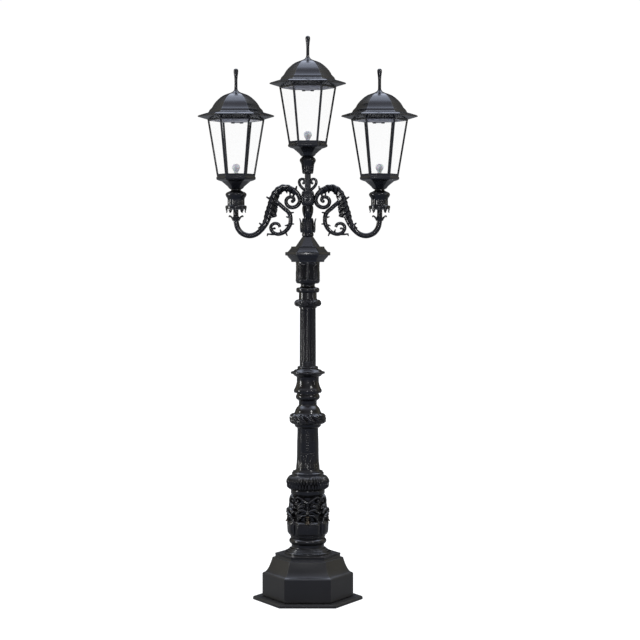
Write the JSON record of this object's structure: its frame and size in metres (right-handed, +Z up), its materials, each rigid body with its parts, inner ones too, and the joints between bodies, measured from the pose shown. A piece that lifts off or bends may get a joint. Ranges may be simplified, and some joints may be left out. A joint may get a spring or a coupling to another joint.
{
  "type": "street lamp",
  "caption": "Ornate cast-iron street lamp: hexagonal plinth, masked and fluted column, scrolled brackets and glazed hexagonal lanterns with hinged roofs.",
  "frame": {"origin": "centre of the underside of the base plate, on the column axis", "axes": "+Z up the column, -Y to the front, +X to the right"},
  "size_m": [1.647, 0.7154, 4.225],
  "materials": {
    "column_iron": "black satin enamel over cast iron",
    "bracket_iron": "black satin enamel over cast iron",
    "lantern_metal": "black gloss powder coat",
    "tube_steel": "black painted steel tube",
    "spout_brass": "aged brass",
    "pane_glass": "clear float glass",
    "bulb_glass": "frosted lamp glass",
    "lampholder_plastic": "moulded black plastic",
    "pin_steel": "plain steel",
    "board_plastic": "moulded grey board"
  },
  "bodies": {
    "post": {"base_plate": "column_iron", "plinth_shell": "column_iron", "plinth_flare": "column_iron", "foot_moulding": "column_iron", "mask_drum": "column_iron", "gadroon_collar": "column_iron", "lower_shaft": "column_iron", "leaf_torus": "column_iron", "bell_coupling": "column_iron", "skirt_collar": "column_iron", "fluted_shaft": "column_iron", "upper_ring": "column_iron", "neck_ring": "column_iron", "upper_drum": "column_iron", "hex_collar": "column_iron", "masks": "column_iron", "leaf_cup": "bracket_iron", "centre_stem": "bracket_iron", "bracket_boss": "bracket_iron", "heart_scrolls": "bracket_iron", "centre_socket": "bracket_iron", "holder_left": "bracket_iron", "holder_right": "bracket_iron", "arm_left": "bracket_iron", "arm_right": "bracket_iron", "scrolls_left": "bracket_iron", "scrolls_right": "bracket_iron", "acanthus_left": "bracket_iron", "acanthus_right": "bracket_iron", "core_tube": "tube_steel", "spigot_tube": "tube_steel", "mask_spouts": "spout_brass", "tray_centre": "lantern_metal", "frame_centre": "lantern_metal", "glass_centre": "pane_glass", "lampholder_centre": "lampholder_plastic", "bulb_centre": "bulb_glass", "tray_left": "lantern_metal", "frame_left": "lantern_metal", "glass_left": "pane_glass", "lampholder_left": "lampholder_plastic", "bulb_left": "bulb_glass", "tray_right": "lantern_metal", "frame_right": "lantern_metal", "glass_right": "pane_glass", "lampholder_right": "lampholder_plastic", "bulb_right": "bulb_glass", "roof_hinge_pins": "pin_steel", "door_hinge_pin": "pin_steel", "gear_board": "board_plastic", "fuse_unit": "board_plastic"},
    "roof_centre": {"roof_centre": "lantern_metal", "finial_centre": "lantern_metal"},
    "roof_left": {"roof_left": "lantern_metal", "finial_left": "lantern_metal"},
    "roof_right": {"roof_right": "lantern_metal", "finial_right": "lantern_metal"},
    "door": {"access_door": "column_iron"},
    "lock": {"door_lock": "pin_steel"}
  },
  "joints": [
    {"name": "roof_centre_hinge", "type": "hinge", "parent": "post", "child": "roof_centre", "pos_m": [0, 0.2, 3.836], "axis": [-1, 0, 0], "range_deg": [0, 95]},
    {"name": "roof_left_hinge", "type": "hinge", "parent": "post", "child": "roof_left", "pos_m": [-0.537, 0.2, 3.5915], "axis": [-1, 0, 0], "range_deg": [0, 95]},
    {"name": "roof_right_hinge", "type": "hinge", "parent": "post", "child": "roof_right", "pos_m": [0.537, 0.2, 3.5915], "axis": [-1, 0, 0], "range_deg": [0, 95]},
    {"name": "access_door_hinge", "type": "hinge", "parent": "post", "child": "door", "pos_m": [0.112, 0.305, 0.114], "axis": [0, 0, -1], "range_deg": [0, 110]},
    {"name": "door_lock_turn", "type": "hinge", "parent": "door", "child": "lock", "pos_m": [-0.075, 0.29, 0.114], "axis": [0, -1, 0], "range_deg": [0, 90]}
  ]
}
